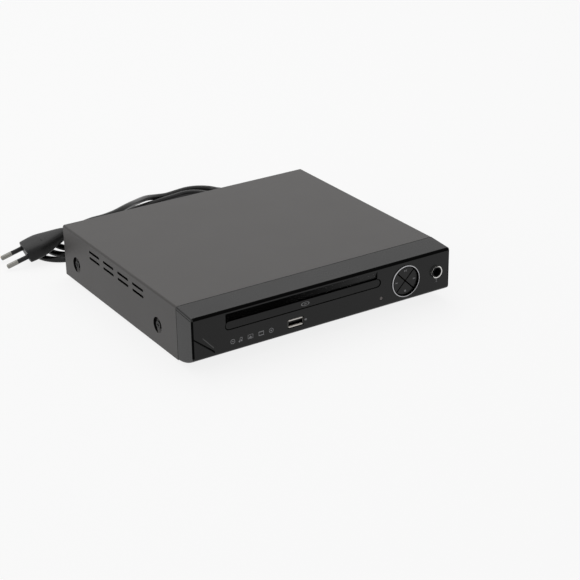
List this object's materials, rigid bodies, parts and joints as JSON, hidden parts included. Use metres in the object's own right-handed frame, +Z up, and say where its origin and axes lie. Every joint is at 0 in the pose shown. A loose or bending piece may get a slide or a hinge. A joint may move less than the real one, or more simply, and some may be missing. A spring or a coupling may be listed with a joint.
{
  "type": "disc player",
  "caption": "Compact disc player with a motor-driven tray, front keys, a serial port and a microphone jack, and its mains lead.",
  "frame": {"origin": "on the floor at the middle of the player's own box, cord left out", "axes": "+X to the right seen from the front, +Y to the rear, +Z up"},
  "size_m": [0.2594, 0.3127, 0.045],
  "materials": {
    "cover_paint": "satin textured paint",
    "pan_steel": "zinc plated",
    "screw_black": "black passivated",
    "foot_rubber": "matt",
    "bezel_black": "semi-gloss moulded",
    "chrome_ring": "bright",
    "chrome_nut": "bright",
    "jack_black": "moulded",
    "key_black": "satin moulded",
    "board_tan": "phenolic board",
    "board_green": "solder mask",
    "switch_black": "moulded",
    "lamp_red": "clear dark red",
    "usb_steel": "tin plated",
    "usb_black": "moulded",
    "door_black": "semi-gloss moulded",
    "tray_black": "fine texture",
    "loader_black": "moulded",
    "bridge_steel": "zinc plated",
    "puck_black": "moulded",
    "screw_steel": "zinc plated",
    "gear_white": "acetal",
    "pulley_brass": "turned",
    "motor_steel": "plated can",
    "belt_rubber": "matt",
    "cam_black": "moulded",
    "deck_steel": "zinc plated",
    "turntable_black": "moulded with rubber ring",
    "rod_steel": "ground",
    "sled_alloy": "die cast",
    "lens_glass": "coated lens",
    "chip_black": "moulded",
    "can_dark": "sleeved can",
    "coil_former": "taped winding",
    "sink_alloy": "extruded",
    "fuse_glass": "glass tube in clips",
    "ribbon_white": "flat film",
    "socket_plastic": "moulded",
    "socket_metal": "nickel plated",
    "cord_black": "satin jacket",
    "plug_black": "moulded",
    "pin_metal": "nickel plated"
  },
  "bodies": {
    "root": {"board_chips": "chip_black", "board_screws": "screw_steel", "capacitors": "can_dark", "chassis_pan": "pan_steel", "clamp_bridge": "bridge_steel", "cord_coil": "cord_black", "cord_lead": "cord_black", "cord_tail": "cord_black", "cover_screws": "screw_black", "feet": "foot_rubber", "front_bezel": "bezel_black", "front_board": "board_tan", "front_ribbon": "ribbon_white", "heatsink": "sink_alloy", "jack_nut": "chrome_nut", "key_ring": "chrome_ring", "loader_frame": "loader_black", "loader_screws": "screw_steel", "loading_belt": "belt_rubber", "loading_motor": "motor_steel", "main_board": "board_green", "mains_fuse": "fuse_glass", "mains_plug": "plug_black", "mic_jack": "jack_black", "plug_pins": "pin_metal", "power_board": "board_tan", "rear_panel": "pan_steel", "socket_barrels": "socket_metal", "socket_block": "socket_plastic", "standoffs": "screw_steel", "status_lamp": "lamp_red", "strain_relief": "cord_black", "tact_switches": "switch_black", "top_cover": "cover_paint", "transformer": "coil_former", "usb_board": "board_green", "usb_shell": "usb_steel", "usb_tongue": "usb_black"},
    "tray": {"disc_tray": "tray_black", "tray_door": "door_black"},
    "key_up": {"key_top": "key_black"},
    "key_west": {"key_left": "key_black"},
    "key_down": {"key_bottom": "key_black"},
    "key_east": {"key_right": "key_black"},
    "drive": {"drive_gear": "gear_white"},
    "pulley": {"pulley_gear": "gear_white"},
    "motor_wheel": {"motor_pulley": "pulley_brass"},
    "cam": {"cam_slider": "cam_black"},
    "traverse": {"traverse_deck": "deck_steel", "spindle_motor": "motor_steel", "guide_rods": "rod_steel", "sled_motor": "motor_steel"},
    "hub": {"turntable": "turntable_black"},
    "clamp": {"clamp_puck": "puck_black"},
    "sled": {"pickup_sled": "sled_alloy", "pickup_lens": "lens_glass"},
    "screw": {"sled_screw": "rod_steel"}
  },
  "joints": [
    {"name": "tray_slide", "type": "slide", "parent": "root", "child": "tray", "axis": [0, -1, 0], "range_m": [0, 0.133]},
    {"name": "top_key_press", "type": "slide", "parent": "root", "child": "key_up", "axis": [0, 1, 0], "range_m": [0, 0.0008], "stiffness_N_per_m": 600},
    {"name": "left_key_press", "type": "slide", "parent": "root", "child": "key_west", "axis": [0, 1, 0], "range_m": [0, 0.0008], "stiffness_N_per_m": 600},
    {"name": "bottom_key_press", "type": "slide", "parent": "root", "child": "key_down", "axis": [0, 1, 0], "range_m": [0, 0.0008], "stiffness_N_per_m": 600},
    {"name": "right_key_press", "type": "slide", "parent": "root", "child": "key_east", "axis": [0, 1, 0], "range_m": [0, 0.0008], "stiffness_N_per_m": 600},
    {"name": "drive_gear_turn", "type": "hinge", "parent": "root", "child": "drive", "pos_m": [-0.06, -0.0835, 0.024], "axis": [0, 0, 1], "range_deg": [-5, 640]},
    {"name": "pulley_gear_turn", "type": "hinge", "parent": "root", "child": "pulley", "pos_m": [-0.038, -0.0835, 0.021], "axis": [0, 0, 1], "range_deg": [-1370, 5]},
    {"name": "motor_pulley_turn", "type": "hinge", "parent": "root", "child": "motor_wheel", "pos_m": [0.0275, -0.0745, 0.0197], "axis": [0, 0, 1], "range_deg": [-4600, 10]},
    {"name": "cam_slide", "type": "slide", "parent": "root", "child": "cam", "axis": [1, 0, 0], "range_m": [0, 0.012]},
    {"name": "traverse_tilt", "type": "hinge", "parent": "root", "child": "traverse", "pos_m": [-0.019, 0.042, 0.0201], "axis": [1, 0, 0], "range_deg": [0, 4.59]},
    {"name": "disc_spin", "type": "hinge", "parent": "traverse", "child": "hub", "pos_m": [-0.01875, -0.03625, 0.03], "axis": [0, 0, 1], "continuous": true},
    {"name": "clamp_spin", "type": "hinge", "parent": "root", "child": "clamp", "pos_m": [-0.01875, -0.03625, 0.037], "axis": [0, 0, 1], "continuous": true},
    {"name": "sled_slide", "type": "slide", "parent": "traverse", "child": "sled", "axis": [0, 1, 0], "range_m": [0, 0.035]},
    {"name": "sled_screw_turn", "type": "hinge", "parent": "traverse", "child": "screw", "pos_m": [0.012, 0, 0.0166], "axis": [0, 1, 0], "range_deg": [-10, 4210]}
  ],
  "couplings": [
    {"joint": "drive_gear_turn", "follows": "tray_slide", "rad_per_m": 83.333},
    {"joint": "pulley_gear_turn", "follows": "tray_slide", "rad_per_m": -178.57},
    {"joint": "motor_pulley_turn", "follows": "tray_slide", "rad_per_m": -595.24},
    {"joint": "traverse_tilt", "follows": "cam_slide", "rad_per_m": 6.6667},
    {"joint": "clamp_spin", "follows": "disc_spin", "ratio": 1},
    {"joint": "sled_screw_turn", "follows": "sled_slide", "rad_per_m": 2094.4}
  ]
}
